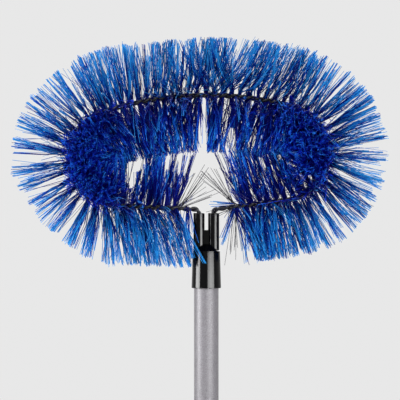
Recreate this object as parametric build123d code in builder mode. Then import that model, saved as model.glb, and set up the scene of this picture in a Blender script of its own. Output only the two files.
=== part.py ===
from build123d import *
import os
from math import asin, atan, atan2, cos, degrees, hypot, pi, radians, sin, sqrt, tan

import numpy as np

# Cobweb brush: an oval loop of twisted wire full of bristle, in a plastic ferrule on a
# telescopic pole. Millimetres. +Z runs up the pole, +Y away from the viewer, and the
# origin is the centre of the flat butt end.

# Fits shared by the pieces
push_gap = 0.05
sliding_gap = 0.1
turning_gap = 0.3
cut_overrun = 1.0
corner_limit_share = 0.45

# Pole: outer and inner tube
outer_tube_diameter = 25.0
outer_tube_wall = 0.9
outer_tube_length = 560.0
inner_tube_diameter = 22.5
inner_tube_wall = 0.8
inner_tube_length = 575.0
inner_tube_showing = 120.0

# Hanging cap in the butt end
eye_height = 22.0
eye_width = 22.0
eye_thickness = 9.0
eye_corner = 7.0
eye_edge = 1.0
hang_hole_diameter = 9.0
hang_hole_height = 11.5
cap_flange_thickness = 4.0
cap_flange_edge = 1.2
cap_plug_length = 30.0
cap_plug_tip = 2.0
cap_plug_bore = 14.0

# Hand grip
grip_length = 128.0
grip_wall = 2.6
grip_end_edge = 1.4
grip_groove_radius = 1.3
grip_groove_margin = 14.0
grip_groove_count = 15

# Clamp collet on the outer tube's top end
collet_overlap = 28.0
collet_base_wall = 3.2
collet_base_height = 6.0
collet_body_wall = 1.8
collet_shoulder = 3.0
collet_finger_length = 20.0
collet_finger_taper = 1.1
collet_slit_width = 1.6
collet_slit_count = 4

# Lock nut round the collet
nut_wall = 2.6
nut_top_thickness = 3.0
nut_edge = 1.2
nut_flute_radius = 1.8
nut_flute_depth = 0.9
nut_flute_count = 16
nut_flute_margin = 4.0

# Glide bush in the inner tube's lower end
bush_ring_height = 8.0
bush_ring_edge = 0.8
bush_plug_length = 18.0
bush_bore = 12.0

# Ferrule between the pole and the wire
ferrule_height = 68.8
ferrule_rim_diameter = 27.1
ferrule_rim_edge = 0.4
ferrule_shoulder_diameter = 25.1
ferrule_shoulder_height = 33.9
ferrule_shoulder_rise = 6.4
socket_depth = 33.5
barrel_width = 10.2
barrel_depth = 12.0
barrel_corner = 4.4
barrel_top_edge = 0.6
slot_width = 3.2
slot_depth = 15.6
web_depth = 8.4
wire_bore_depth = 28.0

# Core of two twisted wires, bent into one loop
wire_diameter = 2.4
wire_spacing_gap = 0.1
wire_bore_gap = 0.15
wire_end_gap = 0.8
wire_twist_pitch = 15.6
wire_start_turn = 40.0
loop_end_spacing = 151.6
loop_end_radius = 43.75
loop_top_radius = 308.0
loop_middle_height = 53.0
loop_shift = -6.8
loop_tilt = 1.75
neck_radius = 4.0
neck_corner_height = 3.3

# Bristle, in bands of tufts along the core
bristle_reach = 53.0
bristle_root_width = 1.2
bristle_tip_width = 0.8
bristle_sides = 3
bristle_gap = 0.3
bristle_check_step = 1.0
bristle_arms = 7
bristle_spiral = 21.0
bristle_lean = 9.0
bristle_trim_share = 0.04
bristle_shortest_share = 0.2
bristle_uneven_share = 0.06
bristle_root_share = 0.4
band_spacing = 7.8
band_width = 1.6
band_wall = 0.8
band_gap = 0.1
bare_neck = 19.0

# Nodes of bristle along each stretch of the loop
left_run_nodes = 2
left_bend_nodes = 3
top_nodes = 6
right_bend_nodes = 3
right_run_nodes = 2

# Heights up the pole, from the butt end
tube_base = eye_height + cap_flange_thickness
tube_top = tube_base + outer_tube_length
collet_base = tube_top - collet_overlap
finger_base = tube_top + collet_shoulder
collet_top = finger_base + collet_finger_length
nut_base = collet_base + collet_base_height + turning_gap
nut_ceiling = collet_top + turning_gap
nut_top = nut_ceiling + nut_top_thickness
ferrule_base = nut_top + inner_tube_showing
ferrule_top = ferrule_base + ferrule_height
inner_tube_top = ferrule_base + socket_depth
inner_tube_base = inner_tube_top - inner_tube_length

# Radii that several pieces share
outer_tube_radius = outer_tube_diameter / 2
outer_tube_bore = outer_tube_radius - outer_tube_wall
inner_tube_radius = inner_tube_diameter / 2
inner_tube_bore = inner_tube_radius - inner_tube_wall
grip_bore = outer_tube_radius + push_gap
grip_radius = grip_bore + grip_wall
collet_bore = outer_tube_radius + push_gap
collet_radius = collet_bore + collet_body_wall
collet_tip_radius = collet_radius - collet_finger_taper
nut_bore = collet_radius + turning_gap
nut_radius = nut_bore + nut_wall
wire_offset = (wire_diameter + wire_spacing_gap) / 2
core_radius = wire_offset + wire_diameter / 2
barrel_offset = (barrel_width + slot_width) / 2
barrel_base = ferrule_base + ferrule_shoulder_height

os.makedirs("parts", exist_ok=True)


def save(part, label):
    """Names a finished piece and writes it as its own file."""
    part.label = label
    export_step(part, f"parts/{label}.step")


def turned(*corners):
    """A solid turned round the pole's axis from a closed outline of radius and height."""
    with BuildSketch(Plane.XZ) as outline:
        with BuildLine():
            Polyline(*corners, close=True)
        make_face()
    revolve(outline.sketch, axis=Axis.Z)


# Outer tube
with BuildPart() as outer_tube:
    with BuildSketch(Plane.XY.offset(tube_base)):
        Circle(outer_tube_radius)
        Circle(outer_tube_bore, mode=Mode.SUBTRACT)
    extrude(amount=outer_tube_length)
save(outer_tube.part, "outer_tube")

# Inner tube
with BuildPart() as inner_tube:
    with BuildSketch(Plane.XY.offset(inner_tube_base)):
        Circle(inner_tube_radius)
        Circle(inner_tube_bore, mode=Mode.SUBTRACT)
    extrude(amount=inner_tube_length)
save(inner_tube.part, "inner_tube")

# Hanging cap: an eye, a flange that stops on the tube's end, and a hollow plug inside it
cap_plug_radius = outer_tube_bore - push_gap
cap_plug_top = tube_base + cap_plug_length
with BuildPart() as hang_cap:
    with BuildSketch(Plane.XZ):
        with BuildLine():
            eye_sides = FilletPolyline(
                (eye_width / 2, eye_height),
                (eye_width / 2, 0),
                (-eye_width / 2, 0),
                (-eye_width / 2, eye_height),
                radius=min(eye_corner, corner_limit_share * eye_width),
            )
            Line(eye_sides @ 1, eye_sides @ 0)
        make_face()
        with Locations((0, hang_hole_height)):
            Circle(hang_hole_diameter / 2, mode=Mode.SUBTRACT)
    extrude(amount=eye_thickness / 2, both=True)
    eye_faces = hang_cap.faces().filter_by(Axis.Y)
    fillet(eye_faces.edges().filter_by_position(Axis.Z, 0, eye_height, inclusive=(True, False)), eye_edge)
    turned(
        (0, eye_height),
        (grip_radius - cap_flange_edge, eye_height),
        (grip_radius, eye_height + cap_flange_edge),
        (grip_radius, tube_base),
        (cap_plug_radius, tube_base),
        (cap_plug_radius, cap_plug_top - cap_plug_tip),
        (cap_plug_radius - cap_plug_tip, cap_plug_top),
        (0, cap_plug_top),
    )
    with Locations((0, 0, cap_plug_top)):
        Hole(cap_plug_bore / 2, depth=cap_plug_length)
save(hang_cap.part, "hang_cap")

# Hand grip: a soft ringed sleeve on the outer tube, down on the cap's flange
grip_top = tube_base + grip_length
groove_spacing = (grip_length - 2 * grip_groove_margin) / (grip_groove_count - 1)
with BuildPart() as hand_grip:
    turned(
        (grip_bore, tube_base),
        (grip_radius, tube_base),
        (grip_radius, grip_top - grip_end_edge),
        (grip_radius - grip_end_edge, grip_top),
        (grip_bore, grip_top),
    )
    with BuildSketch(Plane.XZ):
        with Locations((grip_radius, tube_base + grip_length / 2)):
            with GridLocations(groove_spacing, groove_spacing, 1, grip_groove_count):
                Circle(grip_groove_radius)
    revolve(axis=Axis.Z, mode=Mode.SUBTRACT)
save(hand_grip.part, "hand_grip")

# Clamp collet: a sleeve on the outer tube with slit fingers round the inner tube
finger_bore = inner_tube_radius + sliding_gap
collet_base_radius = collet_bore + collet_base_wall
with BuildPart() as clamp_collet:
    turned(
        (collet_bore, collet_base),
        (collet_base_radius, collet_base),
        (collet_base_radius, collet_base + collet_base_height),
        (collet_radius, collet_base + collet_base_height),
        (collet_radius, finger_base),
        (collet_tip_radius, collet_top),
        (finger_bore, collet_top),
        (finger_bore, tube_top),
        (collet_bore, tube_top),
    )
    with BuildSketch(Plane.XY.offset(collet_top)):
        with PolarLocations(0, collet_slit_count):
            Rectangle(
                collet_radius + cut_overrun,
                collet_slit_width,
                align=(Align.MIN, Align.CENTER),
            )
    extrude(amount=-collet_finger_length, mode=Mode.SUBTRACT)
save(clamp_collet.part, "clamp_collet")

# Lock nut: a fluted ring that turns round the collet and squeezes its fingers
nut_mouth = inner_tube_radius + turning_gap
flute_offset = nut_radius + nut_flute_radius - nut_flute_depth
with BuildPart() as lock_nut:
    turned(
        (nut_bore, nut_base),
        (nut_radius - nut_edge, nut_base),
        (nut_radius, nut_base + nut_edge),
        (nut_radius, nut_top - nut_edge),
        (nut_radius - nut_edge, nut_top),
        (nut_mouth, nut_top),
        (nut_mouth, nut_ceiling),
        (collet_tip_radius + turning_gap, nut_ceiling),
        (nut_bore, finger_base),
    )
    with BuildSketch(Plane.XY.offset(nut_base + nut_flute_margin)):
        with PolarLocations(flute_offset, nut_flute_count):
            Circle(nut_flute_radius)
    extrude(amount=nut_top - nut_base - 2 * nut_flute_margin, mode=Mode.SUBTRACT)
save(lock_nut.part, "lock_nut")

# Glide bush: keeps the inner tube's lower end centred in the outer tube
bush_ring_base = inner_tube_base - bush_ring_height
bush_ring_radius = outer_tube_bore - sliding_gap
bush_plug_radius = inner_tube_bore - push_gap
with BuildPart() as glide_bush:
    turned(
        (bush_bore / 2, bush_ring_base),
        (bush_ring_radius - bush_ring_edge, bush_ring_base),
        (bush_ring_radius, bush_ring_base + bush_ring_edge),
        (bush_ring_radius, inner_tube_base),
        (bush_plug_radius, inner_tube_base),
        (bush_plug_radius, inner_tube_base + bush_plug_length),
        (bush_bore / 2, inner_tube_base + bush_plug_length),
    )
save(glide_bush.part, "glide_bush")

# Ferrule: a tapered socket below, and two barrels above it with a web between them
rim_radius = ferrule_rim_diameter / 2
shoulder_radius = ferrule_shoulder_diameter / 2
socket_radius = inner_tube_radius + push_gap
with BuildPart() as ferrule:
    turned(
        (socket_radius, ferrule_base),
        (rim_radius - ferrule_rim_edge, ferrule_base),
        (rim_radius, ferrule_base + ferrule_rim_edge),
        (shoulder_radius, barrel_base),
        (shoulder_radius - ferrule_shoulder_rise, barrel_base + ferrule_shoulder_rise),
        (0, barrel_base + ferrule_shoulder_rise),
        (0, inner_tube_top),
        (socket_radius, inner_tube_top),
    )
    with BuildSketch(Plane.XY.offset(barrel_base)):
        with Locations((-barrel_offset, 0), (barrel_offset, 0)):
            barrel_limit = corner_limit_share * min(barrel_width, barrel_depth)
            RectangleRounded(barrel_width, barrel_depth, min(barrel_corner, barrel_limit))
    extrude(amount=ferrule_top - barrel_base)
    fillet(ferrule.faces().sort_by(Axis.Z)[-2:].edges(), barrel_top_edge)
    with BuildSketch(Plane.XY.offset(barrel_base)):
        Rectangle(2 * barrel_offset, web_depth)
    extrude(amount=ferrule_top - slot_depth - barrel_base)
    with Locations((-barrel_offset, 0, ferrule_top), (barrel_offset, 0, ferrule_top)):
        Hole(core_radius + wire_bore_gap, depth=wire_bore_depth)
save(ferrule.part, "ferrule")

# Lower runs of the core: a straight line from each bore's axis to the loop's end on that side
seat_height = ferrule_top - wire_bore_depth + wire_end_gap
corner_height = ferrule_top + neck_corner_height
tilt = radians(loop_tilt)


def lower_run(side):
    """Slope, length and neck length of one lower run; side is -1 on the left, 1 on the right."""
    width = side * loop_shift + loop_end_spacing / 2 * cos(tilt) - barrel_offset
    height = loop_middle_height - neck_corner_height + side * loop_end_spacing / 2 * sin(tilt)
    distance = hypot(width, height)
    slope = atan2(height, width) - asin(loop_end_radius / distance)
    neck_length = neck_radius * tan((pi / 2 - slope) / 2)
    return slope, sqrt(distance**2 - loop_end_radius**2) - neck_length, neck_length


left_slope, left_run_length, left_neck_length = lower_run(-1)
right_slope, right_run_length, right_neck_length = lower_run(1)

# Centre line of the core: straight runs and arcs, each with its curvature and length,
# from the seat in the left bore, round the loop, to the seat in the right bore
end_angle = asin(loop_end_spacing / 2 / (loop_top_radius - loop_end_radius))
core_stretches = {
    "left_leg": (0, corner_height - left_neck_length - seat_height),
    "left_neck": (1 / neck_radius, neck_radius * (pi / 2 - left_slope)),
    "left_run": (0, left_run_length),
    "left_bend": (-1 / loop_end_radius, loop_end_radius * (pi - left_slope - end_angle - tilt)),
    "top": (-1 / loop_top_radius, loop_top_radius * 2 * end_angle),
    "right_bend": (-1 / loop_end_radius, loop_end_radius * (pi - right_slope - end_angle + tilt)),
    "right_run": (0, right_run_length),
    "right_neck": (1 / neck_radius, neck_radius * (pi / 2 - right_slope)),
    "right_leg": (0, corner_height - right_neck_length - seat_height),
}
core_length = sum(length for curvature, length in core_stretches.values())


def core_at(travel):
    """Frame and curvature of the core at a distance along it: Z along, X to its left."""
    x, z, heading = -barrel_offset, seat_height, pi / 2
    for curvature, length in core_stretches.values():
        step = min(travel, length)
        turn = curvature * step
        if curvature:
            x += (sin(heading + turn) - sin(heading)) / curvature
            z -= (cos(heading + turn) - cos(heading)) / curvature
        else:
            x += cos(heading) * step
            z += sin(heading) * step
        heading += turn
        travel -= step
        if travel <= 0:
            break
    along = (cos(heading), 0, sin(heading))
    across = (-sin(heading), 0, cos(heading))
    return Plane(origin=(x, 0, z), x_dir=across, z_dir=along), curvature


quarter_count = round(4 * core_length / wire_twist_pitch)
quarter_length = core_length / quarter_count


def wire_at(quarter, phase):
    """Point and heading of one wire's centre line after some quarter turns of the twist."""
    frame, curvature = core_at(quarter * quarter_length)
    angle = radians(wire_start_turn) + phase - quarter * pi / 2
    side = frame.x_dir * cos(angle) + frame.y_dir * sin(angle)
    swing = frame.y_dir * cos(angle) - frame.x_dir * sin(angle)
    stretch = 1 - curvature * wire_offset * cos(angle)
    heading = frame.z_dir * stretch - swing * (wire_offset * pi / 2 / quarter_length)
    return frame.origin + side * wire_offset, heading.normalized()


def biarc(start, start_heading, end, end_heading):
    """Two arcs, tangent where they meet, from one point and heading to another."""
    span = end - start
    bend = 2 * (1 - start_heading.dot(end_heading))
    along = span.dot(start_heading + end_heading)
    reach = (sqrt(along**2 + bend * span.dot(span)) - along) / bend
    middle = (start + start_heading * reach + end - end_heading * reach) / 2
    first = Edge.make_tangent_arc(start, start_heading, middle)
    return [first, Edge.make_tangent_arc(middle, first % 1, end)]


def core_wire(label, phase):
    """One of the two wires, wound round the core's centre line over its whole length."""
    places = [wire_at(quarter, phase) for quarter in range(quarter_count + 1)]
    arcs = []
    for (start, start_heading), (end, end_heading) in zip(places, places[1:]):
        arcs += biarc(start, start_heading, end, end_heading)
    with BuildPart() as wire:
        with BuildSketch(Plane(origin=places[0][0], z_dir=places[0][1])):
            Circle(wire_diameter / 2)
        sweep(path=Wire(arcs))
    save(wire.part, label)


core_wire("core_wire_a", 0)
core_wire("core_wire_b", pi)

# Bands of bristle: where they lie along the core
run_start = core_stretches["left_leg"][1] + core_stretches["left_neck"][1] + bare_neck
bristle_runs = {
    "left_run": (left_run_nodes, core_stretches["left_run"][1] - bare_neck),
    "left_bend": (left_bend_nodes, core_stretches["left_bend"][1]),
    "top": (top_nodes, core_stretches["top"][1]),
    "right_bend": (right_bend_nodes, core_stretches["right_bend"][1]),
    "right_run": (right_run_nodes, core_stretches["right_run"][1] - bare_neck),
}
band_frames = {}
band_number = 0
for run, (node_count, length) in bristle_runs.items():
    node_length = length / node_count
    band_count = max(1, round(node_length / band_spacing))
    for node in range(node_count):
        frames = []
        for band in range(band_count):
            frame = core_at(run_start + node_length * (node + (band + 0.5) / band_count))[0]
            frames.append(Plane(frame.location * Rotation(0, 0, bristle_spiral * band_number)))
            band_number += 1
        band_frames[f"bristle_{run}_{node + 1}"] = frames
    run_start += length

# Clear room for the strands
core_travels = np.arange(0, core_length, bristle_check_step)
core_line = np.array([list(core_at(travel)[0].origin) for travel in core_travels])
strand_room = bristle_root_width + bristle_gap
core_room = core_radius + strand_room
pole_room = rim_radius + strand_room
strands_laid = np.empty((0, 2, 3))


def is_clear(root, tip):
    """True where a strand keeps its gap to the strands laid before it, the core and the pole."""
    reach = np.linalg.norm(tip - root)
    shares = np.linspace(0, 1, max(2, int(reach / bristle_check_step)))
    points = root + np.outer(shares, tip - root)
    near_pole = np.hypot(points[:, 0], points[:, 1]) < pole_room
    if np.any(near_pole & (points[:, 2] < ferrule_top + strand_room)):
        return False
    outer_points = points[shares * reach > band_spacing]
    core_gaps = np.linalg.norm(outer_points[:, None] - core_line[None], axis=2)
    if np.any(core_gaps < core_room):
        return False
    starts = strands_laid[:, 0]
    spans = strands_laid[:, 1] - starts
    from_starts = points[:, None] - starts[None]
    along = np.sum(from_starts * spans, axis=2) / np.sum(spans * spans, axis=1)
    nearest = np.clip(along, 0, 1)[:, :, None] * spans
    return not np.any(np.linalg.norm(from_starts - nearest, axis=2) < strand_room)


def lay_strand(frame, turn, lean, full_reach):
    """Root and tip of one strand at an angle round a band, cut back to where it is clear."""
    global strands_laid
    side = frame.x_dir * cos(turn) + frame.y_dir * sin(turn)
    heading = np.array(list(side * cos(lean) + frame.z_dir * sin(lean)))
    root = np.array(list(frame.origin + side * (band_bore + bristle_root_share * band_wall)))
    for share in np.arange(1, bristle_shortest_share, -bristle_trim_share):
        tip = root + heading * full_reach * share
        if is_clear(root, tip):
            strands_laid = np.append(strands_laid, [[root, tip]], axis=0)
            return root, tip
    return None


def strand(root, tip):
    """One tapered strand, as a solid of its own."""
    span = Vector(*(tip - root))
    section = Plane(origin=tuple(root), z_dir=span) * RegularPolygon(bristle_root_width / 2, bristle_sides)
    side_drop = (bristle_root_width - bristle_tip_width) / 2 * cos(pi / bristle_sides)
    return Solid.extrude_taper(section.face(), span, degrees(atan(side_drop / span.length)))


golden_share = (sqrt(5) - 1) / 2
band_bore = core_radius + band_gap


def bristle_band(frame):
    """A small faceted ring round the core, with one strand from every second facet."""
    strands = []
    for arm in range(bristle_arms):
        wander = len(strands_laid) * golden_share % 1
        lean = radians(bristle_lean) * (2 * wander - 1)
        full_reach = bristle_reach * (1 - bristle_uneven_share * wander)
        laid = lay_strand(frame, 2 * pi * arm / bristle_arms, lean, full_reach)
        if laid:
            strands.append(strand(*laid))
    with BuildPart() as band:
        with BuildSketch(frame):
            facet_turn = 180 / (2 * bristle_arms)
            RegularPolygon(band_bore + band_wall, 2 * bristle_arms, major_radius=False, rotation=facet_turn)
            Circle(band_bore, mode=Mode.SUBTRACT)
        extrude(amount=band_width / 2, both=True)
        add(strands)
    return band.part.solid()


# Bristle, a few bands to a node
for label, frames in band_frames.items():
    save(Compound([bristle_band(frame) for frame in frames]), label)

print("bands", band_number, "strands", len(strands_laid))
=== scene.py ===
from functools import reduce
from math import asin, atan2, ceil, cos, hypot, pi, radians, sin, sqrt, tan

import bmesh
import bpy
import numpy as np
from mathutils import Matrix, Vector


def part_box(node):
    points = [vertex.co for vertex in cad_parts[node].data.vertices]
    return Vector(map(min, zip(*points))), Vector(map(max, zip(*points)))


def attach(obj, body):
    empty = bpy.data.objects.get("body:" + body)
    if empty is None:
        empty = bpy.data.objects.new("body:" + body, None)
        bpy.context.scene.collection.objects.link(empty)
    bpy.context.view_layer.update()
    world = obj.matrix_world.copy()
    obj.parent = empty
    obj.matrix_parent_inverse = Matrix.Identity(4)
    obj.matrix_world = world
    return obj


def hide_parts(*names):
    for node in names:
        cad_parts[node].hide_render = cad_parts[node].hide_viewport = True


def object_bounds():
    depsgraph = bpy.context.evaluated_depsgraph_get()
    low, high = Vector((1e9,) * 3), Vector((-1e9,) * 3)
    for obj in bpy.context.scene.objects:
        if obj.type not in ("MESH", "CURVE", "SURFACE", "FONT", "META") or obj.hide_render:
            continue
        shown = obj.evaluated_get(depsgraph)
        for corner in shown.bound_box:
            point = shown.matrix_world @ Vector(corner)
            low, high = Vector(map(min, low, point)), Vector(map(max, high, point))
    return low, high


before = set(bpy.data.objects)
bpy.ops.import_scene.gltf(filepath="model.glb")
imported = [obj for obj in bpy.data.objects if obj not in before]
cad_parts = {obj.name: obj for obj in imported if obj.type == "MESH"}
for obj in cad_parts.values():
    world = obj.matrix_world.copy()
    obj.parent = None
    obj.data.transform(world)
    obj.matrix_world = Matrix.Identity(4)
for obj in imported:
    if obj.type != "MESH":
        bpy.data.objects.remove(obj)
cad_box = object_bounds()

# Heights taken from the frame, in metres
ferrule_low, ferrule_high = (Vector(corner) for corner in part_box("ferrule"))
ferrule_rim = ferrule_low.z
ferrule_top = ferrule_high.z

# Camera: level, straight at the loop's flat side. The picture's centre is given beside the pole's
# line and above the ferrule's rim. All in metres, but for the sensor in millimetres.
picture_width = 0.3668
picture_centre_x = -0.0058
picture_centre_height = 0.0807
camera_distance = 2.2
sensor_width = 36

camera_data = bpy.data.cameras.new("camera")
camera_data.sensor_width = sensor_width
camera_data.lens = sensor_width * camera_distance / picture_width
camera = bpy.data.objects.new("camera", camera_data)
camera.location = (picture_centre_x, -camera_distance, ferrule_rim + picture_centre_height)
camera.rotation_euler = (radians(90), 0, 0)
bpy.context.collection.objects.link(camera)
bpy.context.scene.camera = camera

# Core of the brush: the same line and twist as the two wires have, in metres
twist_pitch = 0.0156
twist_start = radians(40)
loop_end_spacing = 0.1516
loop_end_radius = 0.04375
loop_top_radius = 0.308
loop_middle_height = 0.053
loop_shift = -0.0068
loop_tilt = radians(1.75)
neck_radius = 0.004
neck_corner_height = 0.0033
bore_offset = 0.0067
wire_seat_depth = 0.0272
core_step = 0.0002


def lower_run(side):
    """Slope, length and neck length of one lower run; side is -1 on the left, 1 on the right."""
    width = side * loop_shift + loop_end_spacing / 2 * cos(loop_tilt) - bore_offset
    height = loop_middle_height - neck_corner_height + side * loop_end_spacing / 2 * sin(loop_tilt)
    distance = hypot(width, height)
    slope = atan2(height, width) - asin(loop_end_radius / distance)
    neck_length = neck_radius * tan((pi / 2 - slope) / 2)
    return slope, sqrt(distance**2 - loop_end_radius**2) - neck_length, neck_length


class Core:
    """The core's centre line: straight runs and arcs from the left bore to the right one."""

    def __init__(self):
        left_slope, left_run, left_neck = lower_run(-1)
        right_slope, right_run, right_neck = lower_run(1)
        end_angle = asin(loop_end_spacing / 2 / (loop_top_radius - loop_end_radius))
        leg = neck_corner_height + wire_seat_depth
        left_turn = pi - left_slope - end_angle - loop_tilt
        right_turn = pi - right_slope - end_angle + loop_tilt
        # Each stretch's curvature and length
        self.stretches = {
            "left_leg": (0, leg - left_neck),
            "left_neck": (1 / neck_radius, neck_radius * (pi / 2 - left_slope)),
            "left_run": (0, left_run),
            "left_bend": (-1 / loop_end_radius, loop_end_radius * left_turn),
            "top": (-1 / loop_top_radius, loop_top_radius * 2 * end_angle),
            "right_bend": (-1 / loop_end_radius, loop_end_radius * right_turn),
            "right_run": (0, right_run),
            "right_neck": (1 / neck_radius, neck_radius * (pi / 2 - right_slope)),
            "right_leg": (0, leg - right_neck),
        }
        self.starts = {}
        self.length = 0
        for name, (curvature, length) in self.stretches.items():
            self.starts[name] = self.length
            self.length += length
        # The twist makes a whole number of quarter turns
        quarter_turns = round(4 * self.length / twist_pitch)
        self.half_pitch = 2 * self.length / quarter_turns
        self.travels = np.arange(0, self.length, core_step)
        self.places = np.array([self.trace(travel) for travel in self.travels])

    def trace(self, travel):
        """Place and heading of the line after some travel from the left seat."""
        x, z, heading = -bore_offset, ferrule_top - wire_seat_depth, pi / 2
        for curvature, length in self.stretches.values():
            step = min(travel, length)
            turn = curvature * step
            if curvature:
                x += (sin(heading + turn) - sin(heading)) / curvature
                z -= (cos(heading + turn) - cos(heading)) / curvature
            else:
                x += cos(heading) * step
                z += sin(heading) * step
            heading += turn
            travel -= step
            if travel <= 0:
                break
        return x, z, heading

    def at(self, travel):
        """Points, directions along, and directions out of the loop, at an array of travels."""
        x, z, heading = (np.interp(travel, self.travels, column) for column in self.places.T)
        zero = np.zeros_like(x)
        along = np.stack((np.cos(heading), zero, np.sin(heading)), axis=-1)
        outward = np.stack((-np.sin(heading), zero, np.cos(heading)), axis=-1)
        return np.stack((x, zero, z), axis=-1), along, outward

    def tuft_travels(self, start, end):
        """Travels from start to end where the twist turns the bristle into the loop's plane."""
        turns = 0.5 + twist_start / pi
        first = ceil(start / self.half_pitch - turns)
        last = ceil(end / self.half_pitch - turns)
        return [self.half_pitch * (turns + number) for number in range(first, last)]

    def between(self, travel, first, last):
        """Whether a travel lies past the start of one stretch and before that of another."""
        return self.starts[first] < travel < self.starts[last]


core = Core()


# Shader maths: expressions on these values add the nodes
class Value:
    """A socket in a node tree, with the arithmetic that the finishes use."""

    def __init__(self, tree, socket):
        self.tree = tree
        self.socket = socket

    def maths(self, operation, first, second):
        return self.tree.node("ShaderNodeMath", {"operation": operation}, {0: first, 1: second})

    def __add__(self, other):
        return self.maths("ADD", self, other)

    def __sub__(self, other):
        return self.maths("SUBTRACT", self, other)

    def __rsub__(self, other):
        return self.maths("SUBTRACT", other, self)

    def __mul__(self, other):
        return self.maths("MULTIPLY", self, other)

    def __pow__(self, other):
        return self.maths("POWER", self, other)

    def or_more(self, other):
        """The greater of the two."""
        return self.maths("MAXIMUM", self, other)

    __radd__ = __add__
    __rmul__ = __mul__


def blend(first, second, share):
    """Two values mixed, with a share of the second."""
    return first * (1 - share) + second * share


class Tree:
    """The nodes of a material or of the world."""

    def __init__(self, node_tree):
        self.nodes = node_tree.nodes
        self.links = node_tree.links

    def node(self, kind, settings=None, inputs=None, output=0):
        """Adds a node with its settings, and feeds its sockets with values or links."""
        node = self.nodes.new(kind)
        for name, value in (settings or {}).items():
            if name == "stops":
                self.set_stops(node.color_ramp.elements, value)
            else:
                setattr(node, name, value)
        for name, value in (inputs or {}).items():
            if isinstance(value, Value):
                self.links.new(value.socket, node.inputs[name])
            else:
                node.inputs[name].default_value = value
        return Value(self, node.outputs[output])

    def set_stops(self, elements, stops):
        """Gives a colour ramp its stops, each a place and a colour."""
        while len(elements) < len(stops):
            elements.new(1)
        for element, (place, colour) in zip(elements, stops):
            element.position = place
            element.color = (*colour, 1)


class Finish(Tree):
    """A material on one principled surface, with helpers that add its nodes."""

    def __init__(self, name, **constants):
        self.material = bpy.data.materials.new(name)
        self.material.use_nodes = True
        super().__init__(self.material.node_tree)
        self.surface = self.nodes["Principled BSDF"]
        for socket, value in constants.items():
            self.surface.inputs[socket.replace("_", " ")].default_value = value

    def feed(self, **values):
        """Links values to the surface's own sockets."""
        for socket, value in values.items():
            self.links.new(value.socket, self.surface.inputs[socket.replace("_", " ")])

    def noise(self, scale, detail):
        """Noise with cells of about one over scale metres."""
        place = self.node("ShaderNodeTexCoord", output="Object")
        inputs = {"Vector": place, "Scale": scale, "Detail": detail}
        return self.node("ShaderNodeTexNoise", inputs=inputs)

    def ramp(self, factor, *stops):
        return self.node("ShaderNodeValToRGB", {"stops": stops}, {0: factor})

    def mixed(self, factor, first, second):
        """A mix of two colours, by the numbers of the Mix node's colour sockets."""
        inputs = {0: factor, 6: first, 7: second}
        return self.node("ShaderNodeMix", {"data_type": "RGBA"}, inputs, output=2)

    def attribute(self, name):
        return self.node("ShaderNodeAttribute", {"attribute_name": name}, output="Fac")

    def roughen(self, texture, least, most):
        """Lets the roughness follow a texture, from its least to its most."""
        self.feed(Roughness=texture * (most - least) + least)

    def bump(self, height, strength, distance):
        inputs = {"Height": height, "Strength": strength, "Distance": distance}
        self.feed(Normal=self.node("ShaderNodeBump", inputs=inputs))


def powder_coat():
    """Silver-grey powder coat: a fine dark and light speckle over satin metal."""
    finish = Finish("powder_coat", Metallic=0.1, Roughness=0.42, Specular_IOR_Level=0.4)
    speckle = finish.noise(scale=1900, detail=2)
    cloud = finish.noise(scale=240, detail=2)
    tone = blend(speckle, cloud, share=0.08)
    dark, mid, light = (0.07, 0.067, 0.073), (0.128, 0.122, 0.133), (0.2, 0.192, 0.208)
    finish.feed(Base_Color=finish.ramp(tone, (0.34, dark), (0.5, mid), (0.66, light)))
    finish.bump(speckle, strength=0.2, distance=0.0002)
    return finish.material


def glossy_black():
    """Glossy black moulded plastic with a faint waviness in its shine."""
    finish = Finish("glossy_black", Specular_IOR_Level=0.11)
    wave = finish.noise(scale=160, detail=2)
    grain = finish.noise(scale=5200, detail=2)
    dark, light = (0.0, 0.0, 0.0002), (0.001, 0.001, 0.0014)
    finish.feed(Base_Color=finish.ramp(grain, (0.3, dark), (0.7, light)))
    finish.roughen(wave, least=0.07, most=0.13)
    finish.bump(wave, strength=0.04, distance=0.0004)
    return finish.material


def satin_black(name, tone, roughness):
    """Satin moulded plastic with a fine sparked texture."""
    finish = Finish(name, Specular_IOR_Level=0.25)
    grain = finish.noise(scale=3400, detail=3)
    scuff = finish.noise(scale=90, detail=4)
    dark = tuple(0.7 * channel for channel in tone)
    texture = blend(grain, scuff, share=0.4)
    finish.feed(Base_Color=finish.ramp(texture, (0.35, dark), (0.65, tone)))
    finish.roughen(scuff, least=roughness - 0.12, most=roughness + 0.13)
    finish.bump(grain, strength=0.3, distance=0.00015)
    return finish.material


def drawn_wire():
    """Dark drawn steel wire with a little oily sheen."""
    finish = Finish("drawn_wire", Metallic=0.4)
    mottle = finish.noise(scale=900, detail=3)
    dark, light = (0.002, 0.002, 0.004), (0.014, 0.014, 0.022)
    finish.feed(Base_Color=finish.ramp(mottle, (0.3, dark), (0.75, light)))
    finish.roughen(mottle, least=0.25, most=0.6)
    return finish.material


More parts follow.
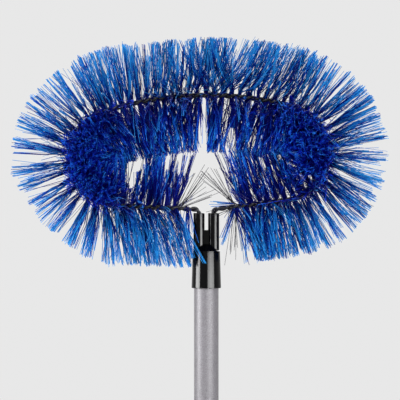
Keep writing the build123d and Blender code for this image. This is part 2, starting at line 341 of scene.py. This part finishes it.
def bristle_blue():
    """Blue filament with painted light: painted root shade, tip light and glints, crowd shade; each
    one its own shade.
    """
    finish = Finish("bristle_blue", Roughness=0.5, Specular_IOR_Level=0.08)
    along = finish.attribute("along")
    shade = finish.attribute("shade")
    depth = finish.attribute("depth")
    # Fine mottle along the filaments, standing in for painted glints
    mottle_and_glints = finish.noise(scale=700, detail=1)
    # Painted light along each filament: painted shade at the root, painted light and a painted
    # highlight towards the tip
    painted_tip_light, half_deep_painted_shade = 0.5, 0.5
    painted_tip_highlight, painted_root_shadow, end_sharpness = 0.3, 0.45, 5
    shade_weight, mottle_and_glint_weight, darkening = 0.62, 1.4, 0.88
    painted_light_along = (
        along * (painted_tip_light - depth * (1 - depth) * half_deep_painted_shade)
        + along**end_sharpness * painted_tip_highlight
        - (1 - along) ** end_sharpness * (1 - depth) * painted_root_shadow
    )
    tone = painted_light_along + shade * shade_weight + mottle_and_glints * mottle_and_glint_weight - darkening
    plain = finish.ramp(
        tone,
        (0.0, (0.0, 0.001, 0.09)), (0.15, (0.0, 0.008, 0.18)), (0.3, (0.0, 0.025, 0.275)),
        (0.45, (0.001, 0.062, 0.355)), (0.6, (0.004, 0.11, 0.41)), (0.75, (0.008, 0.15, 0.45)),
        (1.0, (0.015, 0.2, 0.52)),
    )
    # Deeper, darker blue for filaments crowded inside the loop: painted shade of the crowd
    shaded_deep = finish.ramp(
        tone,
        (0.0, (0.0, 0.001, 0.15)), (0.2, (0.001, 0.006, 0.31)), (0.45, (0.004, 0.032, 0.53)),
        (0.7, (0.01, 0.1, 0.66)), (1.0, (0.02, 0.2, 0.72)),
    )
    finish.feed(Base_Color=finish.mixed(depth, plain, shaded_deep))
    return finish.material


def dress(material, *nodes):
    """Gives the frame's nodes their finish in place of the plain one."""
    for node in nodes:
        materials = bpy.data.objects[node].data.materials
        materials.clear()
        materials.append(material)


dress(powder_coat(), "outer_tube", "inner_tube")
dress(glossy_black(), "ferrule")
dress(drawn_wire(), "core_wire_a", "core_wire_b")
dress(satin_black("cap_plastic", tone=(0.02, 0.02, 0.022), roughness=0.45), "hang_cap")
dress(satin_black("collet_plastic", tone=(0.035, 0.035, 0.038), roughness=0.4), "clamp_collet")
dress(satin_black("nut_plastic", tone=(0.018, 0.018, 0.02), roughness=0.4), "lock_nut")
dress(satin_black("grip_rubber", tone=(0.025, 0.025, 0.027), roughness=0.7), "hand_grip")
dress(satin_black("bush_plastic", tone=(0.6, 0.6, 0.57), roughness=0.5), "glide_bush")

# Bristle: the wires' twist gathers the filaments into tufts that point out of the loop and into
# it, and turns the ones between them towards the viewer and away. A tuft is made of clumps, and a
# clump of filaments. Travels and lengths are in metres, travels along the core, and leans in
# degrees towards its far end.
random = np.random.default_rng(seed=7)

# One filament: its radii, where the core holds it, and its rings as shares of its length
filament_radius = 0.0003
filament_tip_radius = 0.00028
thickness_range = (0.7, 1.15)
core_hold = 0.0016
ring_shares = (0, 0.1, 0.5, 1)

# Clumps in a tuft outside the loop, inside it, and inside where the filaments are pushed up
filaments_per_clump = 5
outer_clumps = 17
inner_clumps = 22
pushed_clumps = 52

# Lengths, and how far roots are scattered along the core
bristle_reach = 0.0537
clump_lengths = (0.965, 1.005)
filament_lengths = (0.975, 1)
twist_squeeze = 0.92
loose_scatter = 0.0013
plain_scatter = 0.0004
filament_scatter = 0.0002
left_bare_neck = 0.019
right_bare_neck = 0.0155

# How the clumps turn round the core: some stay near the loop's plane, the rest turn any way
flat_share = 0.4
flat_spread = 22
widest_turn = 90
filament_turn_spread = 1.5

# How the leans change from root to tip, and how far they stray
root_lean = 1.25
tip_lean = 0.92
run_lean_spread = 7.5
bend_lean_spread = 4.5
straying_before_top = 0.02
straying_after_top = 0.01
filament_lean_spread = 1.35
least_looseness = 0.35
looseness_spread = 1.1
gather_range = (0.2, 1.3)
stray_share = 0.03
stray_lean_spread = 16
sag_spread = 0.08
filament_sag_spread = 0.04

# Row of holes along the roots of the top run and the right bend
pierced_start = 0.318
pierced_end = 0.412
pierced_flat_share = 0.75
pierced_root_lean = 0.1
pierced_root_share = 0.5

# Inside the loop's tight ends, where the filaments push one another up
pushed_starts = (0.098, 0.382)
pushed_ends = (0.238, 0.516)
push_fade = 0.02
pushed_share = 0.9
push_reach = 0.049
push_bulge = 0.35
push_lean_spread = 16
push_sag_spread = 0.3

# Clumps that cross the others above the middle of the top run
crossing_start = 0.312
crossing_end = 0.350
crossing_share = 0.45
crossing_lean = -20
crossing_spread = 9

# Painted shade inside the loop and its crowded ends, random tones, and the depth that deepens the
# painted shade
inner_painted_shade = -0.04
pushed_painted_shade = -0.26
clump_shade_spread = 0.4
filament_shade_spread = 0.26
inner_depth = 0.4

# What the photograph shows stretch by stretch: pairs of travel and value
outer_leans = (
    (0.040, -19), (0.068, -28), (0.075, -22), (0.094, -18), (0.108, -24), (0.122, -15),
    (0.132, -12), (0.142, -4), (0.161, -5), (0.170, -3), (0.178, 5), (0.184, 10), (0.196, 10),
    (0.208, 0), (0.220, -7), (0.232, -8), (0.244, -4), (0.256, 2), (0.264, 12), (0.276, 15),
    (0.290, 12), (0.303, 8), (0.316, 14), (0.330, 26), (0.342, 33), (0.350, 33), (0.362, 23),
    (0.370, 19), (0.393, 18), (0.406, 13), (0.424, 4), (0.436, -3), (0.460, -7), (0.472, 5),
    (0.484, 12), (0.496, 3), (0.508, 3), (0.517, -4), (0.525, -10), (0.536, -8), (0.544, 0),
    (0.552, -6), (0.561, -11), (0.574, -17), (0.582, -14),
)
inner_leans = (
    (0.046, -5), (0.058, -8), (0.066, -4), (0.080, -9), (0.092, -12), (0.101, -2), (0.112, 1),
    (0.125, 5), (0.218, 8), (0.224, 17), (0.240, 8), (0.250, 14), (0.262, 11), (0.278, 2),
    (0.292, 0), (0.306, -4), (0.320, -6), (0.332, -3), (0.343, -12), (0.352, 10), (0.366, -8),
    (0.380, -9), (0.392, 0), (0.488, -6), (0.504, -3), (0.512, 4), (0.520, 10), (0.528, 16),
    (0.549, 15), (0.562, 10), (0.572, 7),
)
outer_density = (
    (0.040, 0.4), (0.066, 0.75), (0.074, 1.12), (0.100, 1.2), (0.115, 1.22), (0.130, 1.08),
    (0.140, 0.73), (0.165, 0.55), (0.175, 1.0), (0.200, 0.7), (0.225, 0.88), (0.240, 1.1),
    (0.258, 1.0), (0.268, 0.8), (0.284, 0.95), (0.292, 0.95), (0.304, 0.75), (0.316, 1.0),
    (0.345, 1.2), (0.354, 1.1), (0.370, 0.83), (0.410, 0.66), (0.430, 0.9), (0.460, 1.05),
    (0.496, 1.1), (0.506, 0.6), (0.514, 1.0), (0.530, 1.4), (0.560, 1.3), (0.575, 0.85),
)
inner_density = (
    (0.055, 1.0), (0.078, 1.0), (0.083, 0.75), (0.099, 0.75), (0.104, 0.9), (0.118, 1.0),
    (0.342, 1.0), (0.347, 0.85), (0.354, 0.85), (0.360, 1.0), (0.500, 1.0), (0.520, 0.84),
    (0.570, 0.8), (0.575, 0.0),
)
outer_reaches = (
    (0.085, 1.02), (0.105, 1.03), (0.120, 1.0), (0.132, 0.9), (0.153, 0.88), (0.161, 0.94),
    (0.168, 1.02), (0.180, 1.0), (0.222, 1.0), (0.236, 1.04), (0.250, 1.08), (0.262, 1.03),
    (0.275, 0.97), (0.300, 1.0), (0.380, 1.0), (0.390, 1.03), (0.402, 1.0), (0.440, 1.02),
    (0.480, 1.02), (0.500, 1.02), (0.510, 1.04), (0.520, 1.0),
)
# Mean tone outside the loop, with painted light: lighter towards the left end, darker on the right
# run
outer_tones_with_painted_light = ((0.04, 0.7), (0.2, 0.66), (0.23, 0.62), (0.5, 0.6), (0.525, 0.47))

# Slit in the bristle below the middle of the top run
slit_travel = 0.3245
slit_half_width = 0.0031

# Gaps in the bristle, seen from the front: each one's middle beside the pole's line and above the
# ferrule's rim, and its half width and half height, in metres, and its lean to the right in degrees
gaps = (
    (-0.0019, 0.1421, 0.0029, 0.0348, 0), (0.024, 0.1394, 0.0029, 0.0087, 0),
    (-0.0257, 0.1132, 0.0023, 0.0101, 0), (-0.0361, 0.1132, 0.0023, 0.0083, 5),
    (-0.0649, 0.1114, 0.0078, 0.0055, 0), (-0.0681, 0.1009, 0.0039, 0.0101, 8),
    (0.0675, 0.1201, 0.002, 0.0031, 0), (0.0522, 0.1123, 0.0017, 0.006, -20),
    (0.0956, 0.1005, 0.0021, 0.0046, -28), (0.0914, 0.0935, 0.0016, 0.0028, -20),
    (-0.1147, 0.1778, 0.0016, 0.0055, -26), (-0.1071, 0.1671, 0.0015, 0.0073, -35),
)
gap_strays = 0.06
gap_steps = 50

# How far the filaments keep inside the frame's box
box_margin = 0.0004


def unit(vectors):
    return vectors / np.linalg.norm(vectors, axis=-1, keepdims=True)


def read_off(table, travel):
    """The value at a travel, between a table's own points."""
    travels, values = zip(*table)
    return np.interp(travel, travels, values)


def finished_piece(name, bm, material):
    """Makes an object of a bmesh, in its material."""
    mesh = bpy.data.meshes.new(name)
    bm.to_mesh(mesh)
    bm.free()
    mesh.materials.append(material)
    piece = bpy.data.objects.new(name, mesh)
    bpy.context.collection.objects.link(piece)
    return piece


def filament_piece(name, paths, shades, depths, thicknesses, material):
    """Three-sided filaments along paths, an array of filament, ring and coordinate."""
    bm = bmesh.new()
    number = bm.faces.layers.int.new("number")
    shade = bm.faces.layers.float.new("shade")
    depth = bm.faces.layers.float.new("depth")
    along = bm.verts.layers.float.new("along")
    heading = paths[:, 1] - paths[:, 0]
    side = unit(np.cross(heading, random.normal(size=heading.shape)))
    painted_light_along = unit(np.cross(heading, side))
    corners = [side * cos(turn) + painted_light_along * sin(turn) for turn in (0, 2 * pi / 3, 4 * pi / 3)]
    faces = []
    for ring, share in enumerate(ring_shares):
        radius = filament_radius + share * (filament_tip_radius - filament_radius)
        radii = radius * thicknesses[:, None]
        places = np.stack([paths[:, ring] + corner * radii for corner in corners], axis=1)
        if ring:
            faces = bmesh.ops.extrude_discrete_faces(bm, faces=faces)["faces"]
            for face in faces:
                for vert, place in zip(face.verts, places[face[number]]):
                    vert.co = place
                    vert[along] = share
        else:
            for index, triangle in enumerate(places):
                face = bm.faces.new([bm.verts.new(place) for place in triangle])
                face[number], face[shade], face[depth] = index, shades[index], depths[index]
                faces.append(face)
    bmesh.ops.recalc_face_normals(bm, faces=bm.faces)
    return finished_piece(name, bm, material)


def push(travel):
    """How crowded the inside of the loop's tight ends is at a travel, 0 to 1."""
    return max(
        min(np.clip((travel - start) / push_fade, 0, 1), np.clip((end - travel) / push_fade, 0, 1))
        for start, end in zip(pushed_starts, pushed_ends)
    )


def is_pierced(travel, side):
    """Whether a tuft stands in the stretch with a row of holes along its roots."""
    return side > 0 and pierced_start < travel < pierced_end


def lean_spread(travel, side):
    """How far the clumps' leans stray: less outside the bends than on the runs and inside."""
    straying_start = core.starts["top"] - straying_before_top
    straying_end = core.starts["right_bend"] + straying_after_top
    on_bend = core.between(travel, "left_bend", "right_run")
    on_bend = on_bend and not straying_start < travel < straying_end
    return bend_lean_spread if side > 0 and on_bend else run_lean_spread


def clump_directions(travel, side, count, crowding):
    """Each clump's lean and its turn round the core, in degrees, and whether it is pushed up."""
    wander = random.normal(0, lean_spread(travel, side), count)
    lean = np.full(count, read_off(outer_leans if side > 0 else inner_leans, travel))
    if side > 0 and crossing_start < travel < crossing_end:
        crossing = random.random(count) < crossing_share
        lean = np.where(crossing, random.normal(crossing_lean, crossing_spread, count), lean)
    flat = random.random(count) < (pierced_flat_share if is_pierced(travel, side) else flat_share)
    near_plane = random.normal(0, flat_spread, count)
    any_way = random.uniform(-widest_turn, widest_turn, count)
    turn = np.where(flat, near_plane, any_way)
    # In the loop's tight ends the filaments meet and stand up out of its plane
    tip_distance = push_reach * (1 - np.sqrt(1 - random.random(count)))
    pushed_turn = np.sign(turn) * np.degrees(np.arccos(tip_distance / bristle_reach))
    pushed = random.random(count) < crowding * pushed_share
    turn = np.where(pushed, pushed_turn, turn)
    return lean * np.cos(np.radians(turn)) + wander, turn, pushed


def beside_slit(root, lean):
    """Leans that keep the filaments out of the slit, from their roots' travels."""
    before, after = (
        np.degrees(np.arctan((slit_travel + edge - root) / bristle_reach))
        for edge in (-slit_half_width, slit_half_width)
    )
    return np.where(root < slit_travel, np.minimum(lean, before), np.maximum(lean, after))


def tuft_filaments(travel, side):
    """Paths, shades, depths and thicknesses of one tuft's filaments; side is 1 out of the loop,
    -1 into it."""
    outside = side > 0
    crowding = 0 if outside else push(travel)
    inner_count = inner_clumps + crowding * (pushed_clumps - inner_clumps)
    density = read_off(outer_density if outside else inner_density, travel)
    count = round((outer_clumps if outside else inner_count) * density)
    lean, turn, pushed = clump_directions(travel, side, count, crowding)

    # Painted shade: inner filaments darker, pushed ones darker still; outer ones take the mean tone
    # with painted light
    mean_tone_with_painted_light = read_off(outer_tones_with_painted_light, travel) if outside else inner_painted_shade
    shade = random.normal(mean_tone_with_painted_light, clump_shade_spread, count)
    shade += np.where(pushed, pushed_painted_shade, 0)
    reach = bristle_reach * random.uniform(*clump_lengths, count)
    reach *= read_off(outer_reaches, travel) if outside else 1
    gathered = core.between(travel, "left_bend", "top")
    gathered = gathered or pierced_start < travel < core.starts["right_run"]
    scatter = loose_scatter if outside and not gathered else plain_scatter
    offset = -side * turn / 180 * core.half_pitch * twist_squeeze
    offset += random.normal(0, scatter, count)
    lean = np.where(pushed, random.normal(0, push_lean_spread, count), lean)
    looseness = least_looseness + random.exponential(looseness_spread, count)
    looseness = np.repeat(looseness, filaments_per_clump)

    def spread(values, amount):
        """The clumps' values for each filament, strayed by an amount times its looseness."""
        strayed = random.normal(0, amount, len(looseness)) * looseness
        return np.repeat(values, filaments_per_clump) + strayed

    root = travel + spread(offset, filament_scatter)
    lean = np.repeat(lean, filaments_per_clump)
    at_neck = not outside and not core.between(travel, "left_bend", "right_run")
    strays = random.random(len(lean)) < (0 if at_neck else stray_share)
    lean += np.where(strays, random.normal(0, stray_lean_spread, len(lean)), 0)
    if not outside:
        lean = beside_slit(root, lean)
    points, along, outward = core.at(root)
    turn = np.radians(spread(turn, filament_turn_spread))
    lean = np.radians(lean)
    own_lean = np.radians(spread(np.zeros(count), filament_lean_spread))
    gather = np.repeat(random.uniform(*gather_range, count), filaments_per_clump)
    reach = spread(reach, 0) * random.uniform(*filament_lengths, len(turn)) - core_hold
    spoke = side * outward * np.cos(turn)[:, None] - np.array((0, 1, 0)) * np.sin(turn)[:, None]
    cross = np.cross(spoke, along)
    sag_across, sag_along = (
        spread(random.normal(0, sag_spread, count), filament_sag_spread) for _ in range(2)
    )
    bulge = np.sign(turn) * push_bulge + random.normal(0, push_sag_spread, len(turn))
    sag_across -= np.repeat(pushed, filaments_per_clump) * bulge
    sag = cross * sag_across[:, None] + along * sag_along[:, None]
    length = reach / np.cos(np.where(strays, 0, lean * tip_lean))
    rings = []
    for share in ring_shares:
        part = root_lean + share * (tip_lean - root_lean)
        if is_pierced(travel, side) and share < pierced_root_share:
            part = pierced_root_lean
        ring_lean = lean * part + own_lean * (1 + share * (gather - 1))
        heading = spoke * np.cos(ring_lean)[:, None] + along * np.sin(ring_lean)[:, None]
        drift = sag * share * (1 - share)
        rings.append(points + spoke * core_hold + (share * heading + drift) * length[:, None])
    paths = cleared(np.stack(rings, axis=1))
    shade = spread(shade, filament_shade_spread)
    # How deep the inner filaments sit, for their painted shaded blue
    depth = np.full(len(turn), 0 if outside else max(crowding, inner_depth), float)
    return paths, shade, depth, random.uniform(*thickness_range, len(turn))


def shortened(paths, share):
    """Each filament shortened to a share of its length."""
    return paths[:, :1] + (paths - paths[:, :1]) * share[:, None, None]


def cleared(paths):
    """Shortens the filaments that would cross a gap, but for a few strays."""
    shares = np.linspace(1 / gap_steps, 1, gap_steps)
    weights = [np.interp(shares, ring_shares, row) for row in np.eye(len(ring_shares))]
    places = np.stack(weights, axis=-1) @ paths
    inside = np.zeros(places.shape[:2], bool)
    for middle_x, middle_height, half_width, half_height, lean in gaps:
        right = places[..., 0] - middle_x
        up = places[..., 2] - ferrule_rim - middle_height
        lean_cos, lean_sin = cos(radians(lean)), sin(radians(lean))
        across = (right * lean_cos - up * lean_sin) / half_width
        upward = (up * lean_cos + right * lean_sin) / half_height
        inside |= across**2 + upward**2 < 1
    crossing = inside.any(axis=1) & (random.random(len(paths)) > gap_strays)
    return shortened(paths, np.where(crossing, shares[inside.argmax(axis=1)], 1))


def kept_inside(paths):
    """Shortens the filaments that would leave the frame's own box."""
    margins = (box_margin, -box_margin)
    low, high = (np.array(corner) + margin for corner, margin in zip(cad_box, margins))
    start, last_step = paths[:, 0], paths[:, -1] - paths[:, 0]
    with np.errstate(divide="ignore"):
        room = np.where(last_step > 0, high - start, low - start) / last_step
    return shortened(paths, np.clip(room.min(axis=1), 0, 1))


def bristle_piece(name, tufts, material):
    """One piece of filaments from a list of tufts."""
    paths, shades, depths, thicknesses = (np.concatenate(part) for part in zip(*tufts))
    piece = filament_piece(name, kept_inside(paths), shades, depths, thicknesses, material)
    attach(piece, "head")
    return piece


bristle_finish = bristle_blue()
node_counts = {"left_run": 2, "left_bend": 3, "top": 6, "right_bend": 3, "right_run": 2}
for run, node_count in node_counts.items():
    length = core.stretches[run][1]
    start = core.starts[run]
    if run == "left_run":
        start += left_bare_neck
        length -= left_bare_neck
    if run == "right_run":
        length -= right_bare_neck
    for number in range(node_count):
        low = start + length * number / node_count
        high = start + length * (number + 1) / node_count
        travels = core.tuft_travels(low, high)
        tufts = [tuft_filaments(travel, side) for travel in travels for side in (1, -1)]
        piece = bristle_piece(f"tufts_{run}_{number + 1}", tufts, bristle_finish)
        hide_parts(f"bristle_{run}_{number + 1}")

# Loose ends at the loop's two bare necks. Each fan has its root beside the pole's line and above
# the ferrule's rim, its first and last direction, its shortest and longest filament, how far it
# stands to the viewer, and its count, in metres and degrees.
grey_fans = (
    (0.0245, 0.0770, 100, 147, 0.028, 0.047, 0, 14), (-0.0241, 0.0743, 14, 72, 0.024, 0.048, 0, 18),
    (0.0280, 0.0765, 186, 214, 0.012, 0.030, 10, 10),
    (0.0270, 0.0730, 258, 274, 0.030, 0.052, 10, 10),
)
blue_fans = (
    (0.0262, 0.0770, 174, 184, 0.014, 0.024, 8, 10),
    (0.0262, 0.0740, 246, 254, 0.028, 0.037, 12, 12),
    (-0.0270, 0.0735, 268, 292, 0.030, 0.052, 0, 22),
    (-0.0170, 0.0735, 258, 286, 0.018, 0.044, 26, 22),
)
fan_spread = 9
fan_sag = 0.07
fan_root_scatter = 0.0012
fan_shade = 0.5
fan_shade_spread = 0.3
grey_thickness = 0.8


def fan_filaments(root_x, root_height, first, last, short, long, forward, count):
    """Paths of one fan of loose filaments."""
    turn = np.radians(random.uniform(first, last, count))
    stand = np.radians(random.normal(forward, fan_spread, count))
    parts = (np.cos(turn) * np.cos(stand), -np.sin(stand), np.sin(turn) * np.cos(stand))
    heading = np.stack(parts, axis=-1)
    bend = unit(random.normal(size=heading.shape)) * random.normal(0, fan_sag, count)[:, None]
    length = random.uniform(short, long, count)[:, None]
    root = np.array((root_x, 0, ferrule_rim + root_height))
    root = root + random.normal(0, fan_root_scatter, heading.shape)
    rings = [
        root + (heading * share + bend * share * (1 - share)) * length for share in ring_shares
    ]
    return np.stack(rings, axis=1)


stray_finish = satin_black("stray_grey", tone=(0.012, 0.012, 0.022), roughness=0.5)
for name, fans, material, thickness in (
    ("neck_strays_grey", grey_fans, stray_finish, grey_thickness),
    ("neck_strays_blue", blue_fans, bristle_finish, 1),
):
    paths = np.concatenate([fan_filaments(*fan) for fan in fans])
    count = len(paths)
    shades = random.normal(fan_shade, fan_shade_spread, count)
    bristle_piece(name, [(paths, shades, np.zeros(count), np.full(count, thickness))], material)

# Stage: a pale floor under the pole and pale surroundings. The camera, and whatever is seen in
# gloss or through glass, sees the surroundings at full strength, and they light the object with
# less. To the same rays the floor is partly the colour of the surroundings.
surround = (0.806, 0.806, 0.806)
surround_light = 0.42
seen_by = ("Camera", "Glossy", "Transmission")
floor_radius = 3.0
floor_corners = 96
floor_glow = 0.6


def seen_rays(tree):
    """1 for the rays that show the surroundings at full strength, 0 for the others."""
    rays = [tree.node("ShaderNodeLightPath", output=f"Is {kind} Ray") for kind in seen_by]
    return reduce(Value.or_more, rays)


floor_finish = Finish("floor_paint", Roughness=0.8)
floor_tint = floor_finish.noise(scale=3, detail=2)
floor_dark, floor_light = (0.78, 0.78, 0.78), (0.8, 0.8, 0.8)
floor_finish.feed(
    Base_Color=floor_finish.ramp(floor_tint, (0.3, floor_dark), (0.7, floor_light))
)
glow = floor_finish.node("ShaderNodeEmission", inputs={"Color": (*surround, 1)})
paint = Value(floor_finish, floor_finish.surface.outputs[0])
floor_mix = floor_finish.node(
    "ShaderNodeMixShader", inputs={0: seen_rays(floor_finish) * floor_glow, 1: paint, 2: glow}
)
floor_end = floor_finish.nodes["Material Output"]
floor_finish.links.new(floor_mix.socket, floor_end.inputs["Surface"])
floor_bm = bmesh.new()
bmesh.ops.create_circle(floor_bm, cap_ends=True, segments=floor_corners, radius=floor_radius)
floor = finished_piece("floor", floor_bm, floor_finish.material)

world = bpy.data.worlds.new("world")
bpy.context.scene.world = world
world.use_nodes = True
sky = Tree(world.node_tree)
sky_strength = sky.node(
    "ShaderNodeMapRange",
    inputs={"Value": seen_rays(sky), "To Min": surround_light, "To Max": 1},
)
background = sky.nodes["Background"]
background.inputs["Color"].default_value = (*surround, 1)
sky.links.new(sky_strength.socket, background.inputs["Strength"])

grid_spread = radians(100)


def soft_light(name, azimuth, height, distance, width, tall, power):
    """A gridded softbox facing the ferrule; azimuth 0 is the camera's side, more to its right."""
    data = bpy.data.lights.new(name, "AREA")
    data.shape = "RECTANGLE"
    data.size = width
    data.size_y = tall
    data.spread = grid_spread
    data.energy = power
    light = bpy.data.objects.new(name, data)
    turn = radians(azimuth)
    target = Vector((0, 0, ferrule_rim))
    light.location = target + Vector((sin(turn) * distance, -cos(turn) * distance, height))
    light.rotation_euler = (target - light.location).to_track_quat("-Z", "Y").to_euler()
    bpy.context.collection.objects.link(light)


soft_light("left_strip", azimuth=-72, height=0.01, distance=1.1, width=0.74, tall=0.15, power=5)
soft_light("right_strip", azimuth=37, height=0.005, distance=1.4, width=1.4, tall=0.16, power=8.2)
soft_light("top_softbox", azimuth=-20, height=1.7, distance=1.8, width=1.8, tall=1.8, power=18)
soft_light("back_softbox", azimuth=168, height=1.1, distance=1.9, width=1.8, tall=1.8, power=19)

bpy.context.scene.view_settings.view_transform = "Standard"
